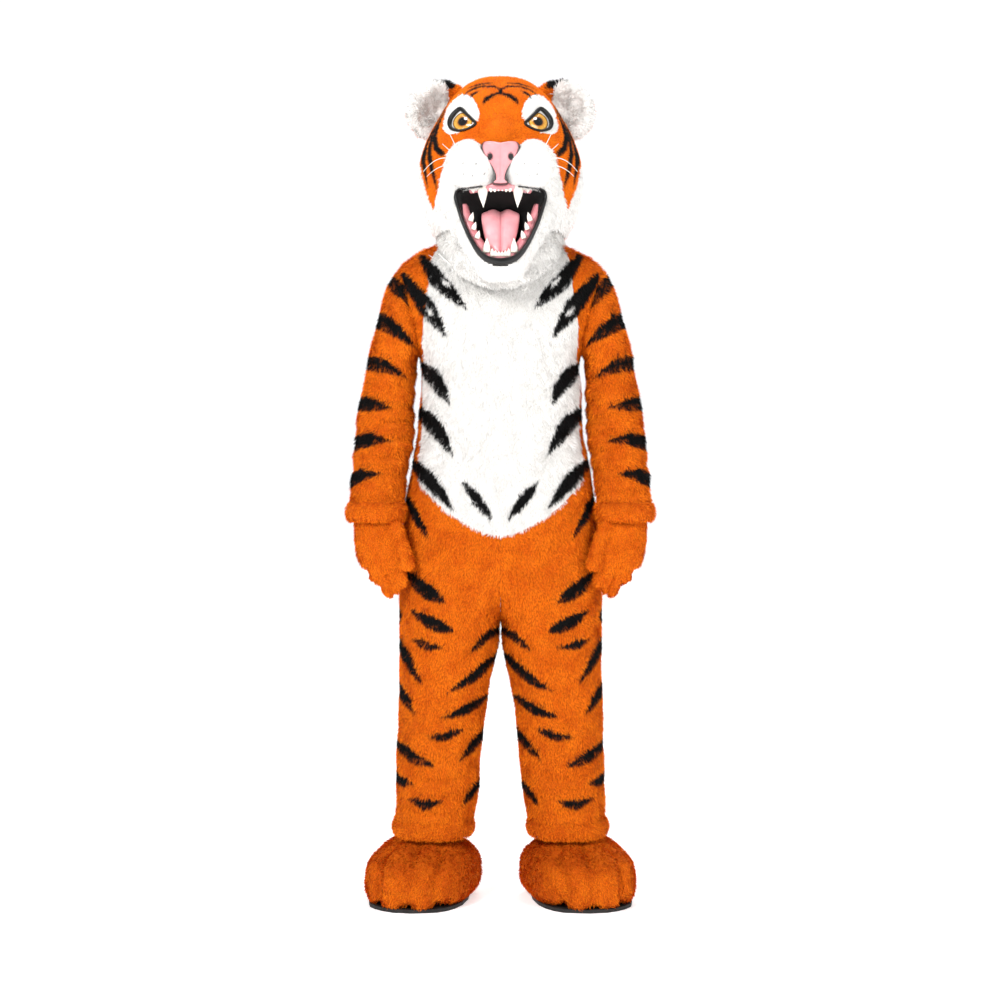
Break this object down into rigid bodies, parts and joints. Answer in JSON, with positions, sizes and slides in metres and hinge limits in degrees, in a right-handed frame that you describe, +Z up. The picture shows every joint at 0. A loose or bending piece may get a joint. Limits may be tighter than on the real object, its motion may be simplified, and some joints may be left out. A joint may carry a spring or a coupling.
{
  "type": "tiger mascot costume",
  "caption": "Full-body tiger costume in short plush: suit with white belly, gloves, boots and a hollow roaring head with an open mouth.",
  "frame": {"origin": "middle of the shoulder line, where the suit hangs on the wearer's shoulders", "axes": "+Z up along the wearer, -Y out of the front, +X to the wearer's left"},
  "size_m": [0.7124, 0.4759, 1.923],
  "materials": {
    "orange_fur": "short orange plush pile, mottled, with black stripes",
    "white_fur": "short white plush pile",
    "black_fur": "black cloth",
    "zip": "woven zip tape",
    "sole": "matte black rubber",
    "nose": "satin pink",
    "gum": "wet pink",
    "tooth": "glossy ivory",
    "lip": "glossy black",
    "eye": "glossy amber iris with a black pupil",
    "whisker": "white nylon"
  },
  "bodies": {
    "root": {"belly_panel": "white_fur", "cheek_ruff": "white_fur", "skirt_front": "white_fur", "muzzle_l": "white_fur", "muzzle_r": "white_fur", "eye_patch_l": "white_fur", "eye_patch_r": "white_fur", "ear_front_l": "white_fur", "ear_front_r": "white_fur", "front_l": "orange_fur", "front_r": "orange_fur", "back_l": "orange_fur", "back_r": "orange_fur", "sleeve_l": "orange_fur", "sleeve_r": "orange_fur", "cuff_l": "orange_fur", "cuff_r": "orange_fur", "hem_l": "orange_fur", "hem_r": "orange_fur", "glove_back_l": "orange_fur", "glove_back_r": "orange_fur", "glove_palm_l": "orange_fur", "glove_palm_r": "orange_fur", "boot_upper_l": "orange_fur", "boot_upper_r": "orange_fur", "face_panel": "orange_fur", "head_back": "orange_fur", "skirt_back": "orange_fur", "nose_bridge": "orange_fur", "ear_back_l": "orange_fur", "ear_back_r": "orange_fur", "back_zip": "zip", "mouth_lining": "black_fur", "lip_rim": "lip", "nose": "nose", "boot_sole_l": "sole", "boot_sole_r": "sole", "upper_gum": "gum", "lower_gum": "gum", "tongue": "gum", "fang_l": "tooth", "fang_r": "tooth", "lower_fang_l": "tooth", "lower_fang_r": "tooth", "upper_teeth": "tooth", "lower_teeth": "tooth", "side_teeth_l": "tooth", "side_teeth_r": "tooth", "eye_l": "eye", "eye_r": "eye", "eye_rim_l": "lip", "eye_rim_r": "lip", "whisker_l1": "whisker", "whisker_l2": "whisker", "whisker_l3": "whisker", "whisker_l4": "whisker", "whisker_r1": "whisker", "whisker_r2": "whisker", "whisker_r3": "whisker", "whisker_r4": "whisker"}
  },
  "joints": []
}
